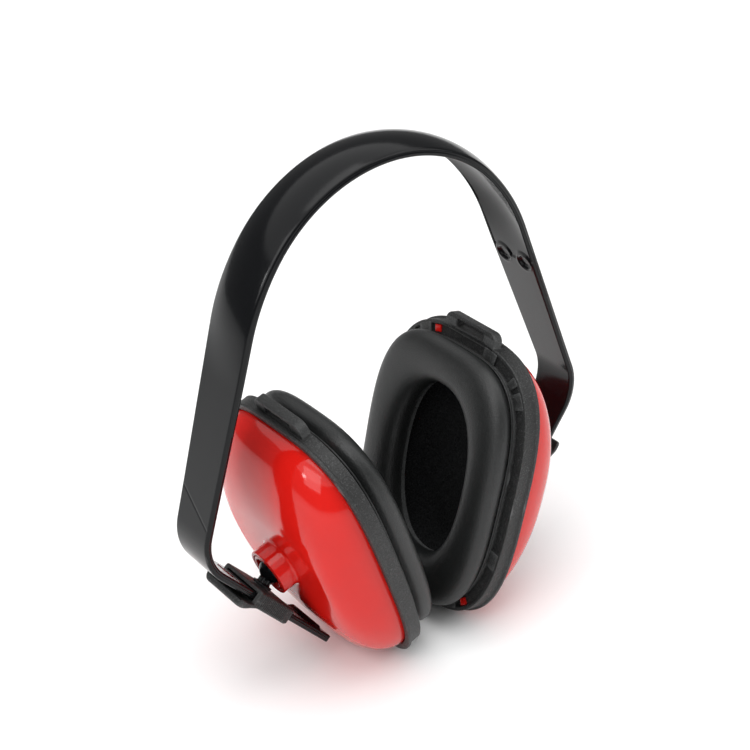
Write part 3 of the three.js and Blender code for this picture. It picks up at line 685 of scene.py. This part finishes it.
def build_rim():
    flange = FLANGE_THICKNESS
    bead = RIM_DEPTH - RIM_BEAD_DEPTH
    section = arc((0.3, 0.3), 0.3, 270, 180, 5)
    section += [(0, 1.2), (0, bead - 0.35), (-0.1, bead - 0.12)]
    section += arc((-RIM_BEAD + 0.25, bead + 0.3), 0.25, 250, 180, 4)
    section += arc((-RIM_BEAD + 0.35, RIM_DEPTH - 0.35), 0.35, 180, 90, 6)
    section += arc((RIM_WALL - 0.3, RIM_DEPTH - 0.3), 0.3, 90, 0, 5)
    section += [(RIM_WALL, flange), (FLANGE_REACH, flange), (FLANGE_REACH, 0), (CHANNEL_REACH + 0.2, 0)]
    section += [(CHANNEL_REACH, 0.2), (CHANNEL_REACH, CHANNEL_FLOOR)]
    section += [(RIM_WALL, CHANNEL_FLOOR), (RIM_WALL - 0.15, 0.7)]
    section += arc((RIM_WALL - 0.5, 0.3), 0.3, 0, -90, 5)
    ring = loft([cup_row(inset, w) for inset, w in section], ring=True)
    blocks = [outline_block(place, length, 0.9, 5.2, -0.15, CHANNEL_FLOOR + 0.2, 0.3)
              for place, length in BLOCKS]
    verts, faces = joined([ring, strap_loop()] + blocks)
    return in_cup(verts), faces


def strap_loop():
    """A loop on the top of the ring: a rounded bar with a slot for a strap."""
    curve = bpy.data.curves.new("strap_loop", "CURVE")
    curve.dimensions = "2D"
    curve.fill_mode = "BOTH"
    bevel = 0.4
    half, rise = LOOP_LENGTH / 2, LOOP_RISE
    base = -RIM_WALL + 0.2
    corner = 2 * LOOP_BAR
    outer = [(-half + bevel, base), (half - bevel, base)]
    outer += arc((half - corner, rise - corner), corner - bevel, 0, 90, 9)
    outer += arc((corner - half, rise - corner), corner - bevel, 90, 180, 9)
    slot_half, slot_top = LOOP_SLOT / 2 + bevel, rise - LOOP_BAR + bevel
    slot_low, r = GAP - bevel, 0.7
    slot = arc((r - slot_half, slot_low + r), r, 180, 270, 5)
    slot += arc((slot_half - r, slot_low + r), r, 270, 360, 5)
    slot += arc((slot_half - r, slot_top - r), r, 0, 90, 5)
    slot += arc((r - slot_half, slot_top - r), r, 90, 180, 5)
    for points in (outer, slot):
        spline = curve.splines.new("POLY")
        spline.points.add(len(points) - 1)
        for target, (x, y) in zip(spline.points, points):
            target.co = (x * MM, y * MM, 0, 1)
        spline.use_cyclic_u = True
    curve.extrude = (LOOP_DEPTH / 2 - bevel) * MM
    curve.bevel_depth = bevel * MM
    curve.bevel_resolution = 2
    obj = bpy.data.objects.new("strap_loop", curve)
    bpy.context.scene.collection.objects.link(obj)
    verts, faces = evaluated(obj)
    discard(obj)
    return verts + (0, CUP_HALF_HEIGHT, LOOP_DEPTH / 2), faces


PLATE_INSET = 4.8


def build_plate():
    near, far = -GAP - PLATE_THICKNESS, -0.05
    hole = (OPENING_HALF_WIDTH + 1, OPENING_HALF_HEIGHT + 1, 2.2)
    outer = [(PLATE_INSET, near), (PLATE_INSET, far - 0.2), (PLATE_INSET + 0.2, far)]
    rows = [cup_row(inset, w) for inset, w in outer]
    rows += [level(outline(*hole), far), level(outline(*hole), near)]
    verts, faces = loft(rows, ring=True)
    return in_cup(verts), faces


CUSHION_BACK = -GAP - PLATE_THICKNESS - 0.05
CUSHION_FACE = -(2 * GAP + PLATE_THICKNESS + CUSHION_THICKNESS)
CUSHION_AROUND = 120
CUSHION_SECTION = [
    (0.16, 0.0), (0.06, 0.13), (0.0, 0.36), (0.015, 0.62), (0.09, 0.83), (0.23, 0.96), (0.42, 1.0),
    (0.6, 0.99), (0.77, 0.92), (0.9, 0.78), (0.975, 0.58), (1.0, 0.36), (1.0, 0.14), (1.0, 0.0),
]
START_SHRINK = 0.45
SWELL_LIMIT = 0.95
CLOTH_FRAMES = 20
SECTION_ROWS = 30
BASE_ROWS = 8
WELD_RADIUS = 0.45


def cushion_rows():
    """Rows of the cushion's section from its outer base over its face and back along its base."""
    outer = (CUP_HALF_WIDTH - CUSHION_INSET + 0.9, CUP_HALF_HEIGHT - CUSHION_INSET + 0.9, CUP_SQUARENESS)
    inner = (OPENING_HALF_WIDTH, OPENING_HALF_HEIGHT, 2.3)
    control = np.array(CUSHION_SECTION)
    stops = np.linspace(0, len(control) - 1, SECTION_ROWS)
    share = [np.interp(stops, np.arange(len(control)), control[:, k]) for k in (0, 1)]
    for _ in range(2):
        share = [np.concatenate([s[:1], (s[:-2] + 2 * s[1:-1] + s[2:]) / 4, s[-1:]]) for s in share]
    across = np.concatenate([share[0], np.linspace(share[0][-1], share[0][0], BASE_ROWS)[1:-1]])
    out = np.concatenate([share[1], np.zeros(BASE_ROWS - 2)])
    rows = []
    for a, h in zip(across, out):
        shape = [mix(o, i, a) for o, i in zip(outer, inner)]
        rows.append(level(outline(*shape, n=CUSHION_AROUND), mix(CUSHION_BACK, CUSHION_FACE, h)))
    return np.array(rows)


def swollen(name, rows, pinned_rows):
    """The body inflated by cloth pressure from a slightly smaller shape, held where it is welded."""
    verts, faces = loft(rows, ring=True)
    obj = mesh_object(name, (verts, faces))
    normals = np.array([v.normal[:] for v in obj.data.vertices])
    pinned = np.zeros(len(verts), bool)
    n = rows.shape[1]
    for r in pinned_rows:
        pinned[r * n:(r + 1) * n] = True
    start = verts - normals * np.where(pinned, 0, START_SHRINK)[:, None]
    for vertex, co in zip(obj.data.vertices, start * MM):
        vertex.co = co
    group = obj.vertex_groups.new(name="held")
    group.add([int(i) for i in np.flatnonzero(pinned)], 1.0, "REPLACE")
    cloth = obj.modifiers.new("swell", "CLOTH")
    settings = cloth.settings
    settings.vertex_group_mass = "held"
    settings.use_pressure = True
    settings.uniform_pressure_force = 4
    settings.tension_stiffness = 18
    settings.compression_stiffness = 12
    settings.shear_stiffness = 8
    settings.bending_stiffness = 0.6
    settings.quality = 6
    settings.effector_weights.gravity = 0
    cloth.point_cache.frame_start = 1
    cloth.point_cache.frame_end = CLOTH_FRAMES
    for number in range(1, CLOTH_FRAMES + 1):
        bpy.context.scene.frame_set(number)
    moved = evaluated(obj)[0]
    bpy.context.scene.frame_set(1)
    discard(obj)
    shift = moved - start
    length = np.maximum(np.linalg.norm(shift, axis=1), 1e-6)
    shift *= np.minimum(1, SWELL_LIMIT / length)[:, None]
    return start + shift, faces


def subdivided(body):
    obj = mesh_object("subdivided", body)
    obj.modifiers.new("smooth", "SUBSURF").levels = 1
    result = evaluated(obj)
    discard(obj)
    return result


def build_cushion():
    """The swollen skin and, round its base, the bead where it is welded to the plate."""
    rows = cushion_rows()
    held = [0, *range(SECTION_ROWS - 1, len(rows))]
    skin = subdivided(swollen("cushion_start", rows, held))
    bead = []
    for angle in np.radians(np.arange(0, 360, 45)):
        inset = PLATE_INSET - 0.35 + WELD_RADIUS * math.cos(angle)
        bead.append(cup_row(inset, CUSHION_BACK + 0.1 - WELD_RADIUS * math.sin(angle)))
    verts, faces = joined([skin, loft(bead, ring=True)])
    return in_cup(verts), faces


LINER_MOUTH = 1.5
WELL_ROWS = 18
FLOOR_ROWS = 16
FOLD_PLACES = (-5.5, 6.0)
FOLD_WIDTH = 0.8
FOLD_RISE = 0.7
LUMP_RISE = 0.12


def build_foam():
    """A soft tray behind the opening: its rim, a rounded well with two faint upright folds, and its back."""
    seed = np.random.default_rng(7)
    phases = seed.uniform(0, 2 * math.pi, 6)
    rim = outline(CUP_HALF_WIDTH - FLANGE_REACH - GAP, CUP_HALF_HEIGHT - FLANGE_REACH - GAP)
    mouth = outline(OPENING_HALF_WIDTH + LINER_STEP, OPENING_HALF_HEIGHT + LINER_STEP, 2.4)
    floor = outline(OPENING_HALF_WIDTH - 3, OPENING_HALF_HEIGHT - 4, 2.3)
    rows = []
    back = dome_rows(SHELL_WALL + GAP, 10)
    for row in back[::-1]:
        low = row.copy()
        low[:, 2] = np.minimum(low[:, 2], POCKET_FLOOR - BOSS_FLOOR - GAP)
        rows.append(low)
    rows = [circle(0.05, rows[0][0, 2])] + rows
    rows += [level(rim, 2.0), level(mix(rim, mouth, 0.5), 1.2), level(mouth, LINER_MOUTH)]
    for angle in np.linspace(0.06, 1, WELL_ROWS) * math.pi / 2:
        w = LINER_MOUTH + (LINER_FLOOR - LINER_MOUTH) * math.sin(angle)
        rows.append(level(mix(mouth, floor, 1 - math.cos(angle)), w))
    for t in np.linspace(0.08, 0.99, FLOOR_ROWS):
        rows.append(level(floor * (1 - t), LINER_FLOOR))
    rows = np.array(rows)
    u, v, w = rows[..., 0], rows[..., 1], rows[..., 2]
    visible = np.arange(len(rows)) >= len(rows) - (WELL_ROWS + FLOOR_ROWS + 1)
    folds = sum(np.exp(-(((u - at) / FOLD_WIDTH) ** 2)) for at in FOLD_PLACES)
    lumps = sum(LUMP_RISE * (math.sin(p) + np.sin(0.35 * k * u + p) * np.cos(0.28 * k * v + 2 * p))
                for k, p in enumerate(phases, start=1))
    raised = FOLD_RISE * folds * (w > 6) + lumps * smooth(w, 1.4, 4)
    rows[..., 2] = np.where(visible[:, None], w + raised, w)
    verts, faces = loft(rows)
    return in_cup(verts), faces


# ---------- Materials ----------
def node_maker(material):
    nodes, links = material.node_tree.nodes, material.node_tree.links

    def add(kind, inputs=(), **settings):
        node = nodes.new(kind)
        for key, value in settings.items():
            setattr(node, key, value)
        for socket, value in dict(inputs).items():
            if isinstance(value, bpy.types.NodeSocket):
                links.new(value, node.inputs[socket])
            else:
                node.inputs[socket].default_value = value
        return node

    return add, links


# Colour that convex edges are lightened towards: a painted highlight along the edges.
EDGE_HIGHLIGHT_COLOUR = (0.16, 0.165, 0.165, 1)
FLECK_COLOUR = (0.12, 0.125, 0.125, 1)
FOAM_COLOUR = (0.011, 0.0115, 0.012)


def blended(add, factor, first, second):
    """A colour between two. The mix node's colours share names with its numbers, so they go by place."""
    return add("ShaderNodeMix", {"Factor": factor, 6: first, 7: second}, data_type="RGBA").outputs[2]


def moulded(name, colour, other, roughness, grain, grain_bump, speckle=0.0, wave_bump=0.0, edge=0.0,
            gloss=0.5, flecks=0.0):
    """Moulded plastic: two close colours mixed by soft noise, fine grain, slow waviness and a painted
    highlight on convex edges.
    """
    material = bpy.data.materials.new(name)
    material.use_nodes = True
    add, links = node_maker(material)
    shader = material.node_tree.nodes["Principled BSDF"]
    where = add("ShaderNodeTexCoord").outputs["Object"]
    patches = add("ShaderNodeTexNoise", {"Vector": where, "Scale": 90.0, "Detail": 4.0, "Roughness": 0.55})
    fine = add("ShaderNodeTexNoise", {"Vector": where, "Scale": grain, "Detail": 5.0, "Roughness": 0.6})
    slow = add("ShaderNodeTexNoise", {"Vector": where, "Scale": 35.0, "Detail": 1.0})
    base = blended(add, patches.outputs["Fac"], (*colour, 1), (*other, 1))
    if edge:
        # Convex edges, found by pointiness, are painted lighter: a painted edge highlight.
        highlight_edges = add("ShaderNodeMapRange", {
            "Value": add("ShaderNodeNewGeometry").outputs["Pointiness"], "From Min": 0.52, "From Max": 0.6,
            "To Min": 0.0, "To Max": edge})
        base = blended(add, highlight_edges.outputs["Result"], base, EDGE_HIGHLIGHT_COLOUR)
    if flecks:
        dots = add("ShaderNodeTexNoise", {"Vector": where, "Scale": grain * 1.3, "Detail": 1.0})
        sparse = add("ShaderNodeMapRange", {
            "Value": dots.outputs["Fac"], "From Min": 0.58, "From Max": 0.72,
            "To Min": 0.0, "To Max": flecks})
        base = blended(add, sparse.outputs["Result"], base, FLECK_COLOUR)
    links.new(base, shader.inputs["Base Color"])
    rough = add("ShaderNodeMapRange", {
        "Value": fine.outputs["Fac"], "From Min": 0.3, "From Max": 0.7,
        "To Min": roughness * 0.85, "To Max": roughness * 1.2})
    links.new(rough.outputs["Result"], shader.inputs["Roughness"])
    bump = add("ShaderNodeBump", {"Height": fine.outputs["Fac"], "Strength": grain_bump, "Distance": 0.0002})
    if speckle:
        cells = add("ShaderNodeTexVoronoi", {"Vector": where, "Scale": grain * 0.8}, feature="F1")
        bump = add("ShaderNodeBump", {
            "Height": cells.outputs["Distance"], "Strength": speckle, "Distance": 0.00015,
            "Normal": bump.outputs["Normal"]})
    if wave_bump:
        bump = add("ShaderNodeBump", {
            "Height": slow.outputs["Fac"], "Strength": wave_bump, "Distance": 0.002,
            "Normal": bump.outputs["Normal"]})
    links.new(bump.outputs["Normal"], shader.inputs["Normal"])
    shader.inputs["Specular IOR Level"].default_value = gloss
    return material


def foam_material(name):
    material = bpy.data.materials.new(name)
    material.use_nodes = True
    add, links = node_maker(material)
    shader = material.node_tree.nodes["Principled BSDF"]
    where = add("ShaderNodeTexCoord").outputs["Object"]
    cells = add("ShaderNodeTexVoronoi", {"Vector": where, "Scale": 1400.0, "Randomness": 1.0})
    tone = add("ShaderNodeMapRange", {
        "Value": cells.outputs["Distance"], "From Min": 0.1, "From Max": 0.7, "To Min": 0.3, "To Max": 1.0})
    shade = add("ShaderNodeCombineColor")
    for channel, amount in zip(("Red", "Green", "Blue"), FOAM_COLOUR):
        scaled = add("ShaderNodeMath", {0: tone.outputs["Result"], 1: amount}, operation="MULTIPLY")
        links.new(scaled.outputs["Value"], shade.inputs[channel])
    links.new(shade.outputs["Color"], shader.inputs["Base Color"])
    bump = add("ShaderNodeBump", {"Height": cells.outputs["Distance"], "Strength": 0.8, "Distance": 0.0005})
    links.new(bump.outputs["Normal"], shader.inputs["Normal"])
    shader.inputs["Roughness"].default_value = 0.95
    shader.inputs["Specular IOR Level"].default_value = 0.2
    return material


GLOSS_BLACK = moulded(
    "gloss_black", (0.0035, 0.0038, 0.0045), (0.005, 0.0053, 0.006), 0.15, 900, 0.03, wave_bump=0.035,
    edge=0.2, gloss=0.22)
CLIP_BLACK = moulded(
    "clip_black", (0.011, 0.0114, 0.0114), (0.016, 0.0164, 0.0164), 0.5, 1700, 0.8, speckle=0.5, edge=0.3,
    gloss=0.4, flecks=0.5)
GLOSS_RED = moulded(
    "gloss_red", (0.60, 0.010, 0.007), (0.66, 0.012, 0.008), 0.1, 700, 0.015, wave_bump=0.03, gloss=0.38)
RIM_BLACK = moulded(
    "rim_black", (0.012, 0.0123, 0.0123), (0.02, 0.0203, 0.0203), 0.5, 1900, 0.9, speckle=0.8, edge=0.5,
    gloss=0.45, flecks=0.5)
VINYL = moulded(
    "cushion_vinyl", (0.009, 0.0097, 0.0097), (0.012, 0.0129, 0.0129), 0.4, 2600, 0.45, speckle=0.35,
    wave_bump=0.06, flecks=0.12)
FOAM = foam_material("foam_dark")

# ---------- Pieces ----------
place("headband_band", build_headband(), GLOSS_BLACK, "headband", "headband_black", ["headband"], 40)

# Each piece's body, material, the CAD body it rides on, its slot, the CAD nodes it replaces, and the
# angle in degrees above which an edge is sharp
BUILT = {
    "clip": (build_clip(), CLIP_BLACK, "slider", "clip_black", ["slider_clip"], 40),
    "stud": (build_stud(), GLOSS_BLACK, "stud", "clip_black", ["ball_stud"], 45),
    "socket": (build_socket_ring(), GLOSS_RED, "socket", "shell_red", ["socket_ring"], 50),
    "shell": (build_shell(), GLOSS_RED, "cup", "shell_red", ["cup_shell"], 50),
    "rim": (build_rim(), RIM_BLACK, "cup", "rim_black", ["rim_ring"], 50),
    "plate": (build_plate(), RIM_BLACK, "cup", "rim_black", ["cushion_plate"], 40),
    "cushion": (build_cushion(), VINYL, "cup", "cushion_black", ["cushion_skin", "cushion_foam"], 60),
    "liner": (build_foam(), FOAM, "cup", "foam_dark", ["acoustic_foam"], 60),
}
for side_name, side in SIDES.items():
    for piece_name, ((verts, faces), material, body, slot, nodes, sharp) in BUILT.items():
        obj = place(
            f"{piece_name}_{side_name}", (turned(verts, side), faces), material, f"{body}_{side_name}", slot,
            [f"{node}_{side_name}" for node in nodes], sharp)

# ---------- Floor, light and camera ----------
low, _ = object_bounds()


FLOOR_HALF = 3000.0
FLOOR_POINTS = 24
FLOOR_DROP = 0.2


def build_floor():
    n = FLOOR_POINTS
    grid = np.linspace(-FLOOR_HALF, FLOOR_HALF, n)
    verts = [(x, y, low.z / MM - FLOOR_DROP) for y in grid for x in grid]
    faces = [(r * n + c, r * n + c + 1, (r + 1) * n + c + 1, (r + 1) * n + c)
             for r in range(n - 1) for c in range(n - 1)]
    floor = mesh_object("floor", (np.array(verts), faces))
    material = bpy.data.materials.new("floor_pale")
    material.use_nodes = True
    shader = material.node_tree.nodes["Principled BSDF"]
    shader.inputs["Base Color"].default_value = (0.94, 0.94, 0.94, 1)
    shader.inputs["Roughness"].default_value = 0.9
    shader.inputs["Specular IOR Level"].default_value = 0.1
    floor.data.materials.append(material)


build_floor()

CAMERA_AZIMUTH = -34.9
CAMERA_ELEVATION = 31.27
CAMERA_ROLL = math.radians(-4.17)
CAMERA_DISTANCE = 0.5769
CAMERA_TARGET = Vector((-0.00249, 0, -0.08059))
CAMERA_LENS = 83.9
LIGHT_TARGET = Vector((0, 0, -0.09))
# Each area light's azimuth and elevation in degrees, distance and size in metres, and power in watts
AREA_LIGHTS = {
    "key": (-70, 38, 1.2, 0.8, 5),
    "top": (10, 84, 1.7, 1.3, 10),
    "fill": (50, 30, 1.4, 0.8, 3),
    "window": (-90, 31, 0.75, 0.08, 0.3),
}
SKY_ENERGY = 2.1
SKY_ANGLE = 110
WORLD_STRENGTH = 0.2


def towards(azimuth, elevation):
    """The unit vector out to a place at an azimuth from the front and an elevation, both in degrees."""
    a, e = math.radians(azimuth), math.radians(elevation)
    return Vector((math.sin(a) * math.cos(e), -math.cos(a) * math.cos(e), math.sin(e)))


def build_camera():
    a, roll = math.radians(CAMERA_AZIMUTH), CAMERA_ROLL
    back = towards(CAMERA_AZIMUTH, CAMERA_ELEVATION)
    right = Vector((math.cos(a), math.sin(a), 0))
    up = back.cross(right)
    tilted_right = math.cos(roll) * right + math.sin(roll) * up
    tilted_up = -math.sin(roll) * right + math.cos(roll) * up
    data = bpy.data.cameras.new("camera")
    data.lens = CAMERA_LENS
    data.sensor_width = 36
    camera = bpy.data.objects.new("camera", data)
    turn = Matrix((tilted_right, tilted_up, back)).transposed()
    camera.matrix_world = Matrix.Translation(CAMERA_TARGET + CAMERA_DISTANCE * back) @ turn.to_4x4()
    bpy.context.scene.collection.objects.link(camera)
    bpy.context.scene.camera = camera


def area_light(name, azimuth, elevation, distance, size, power):
    data = bpy.data.lights.new(name, "AREA")
    data.shape = "RECTANGLE"
    data.size = data.size_y = size
    data.energy = power
    light = bpy.data.objects.new(name, data)
    direction = towards(azimuth, elevation)
    light.location = LIGHT_TARGET + distance * direction
    light.rotation_euler = direction.to_track_quat("Z", "Y").to_euler()
    bpy.context.scene.collection.objects.link(light)


build_camera()
for light_name, settings in AREA_LIGHTS.items():
    area_light(light_name, *settings)
sky = bpy.data.lights.new("sky", "SUN")
sky.energy = SKY_ENERGY
sky.angle = math.radians(SKY_ANGLE)
bpy.context.scene.collection.objects.link(bpy.data.objects.new("sky", sky))

world = bpy.data.worlds.new("studio")
world.use_nodes = True
world.node_tree.nodes["Background"].inputs["Color"].default_value = (1, 1, 1, 1)
world.node_tree.nodes["Background"].inputs["Strength"].default_value = WORLD_STRENGTH
bpy.context.scene.world = world
bpy.context.scene.view_settings.view_transform = "Standard"
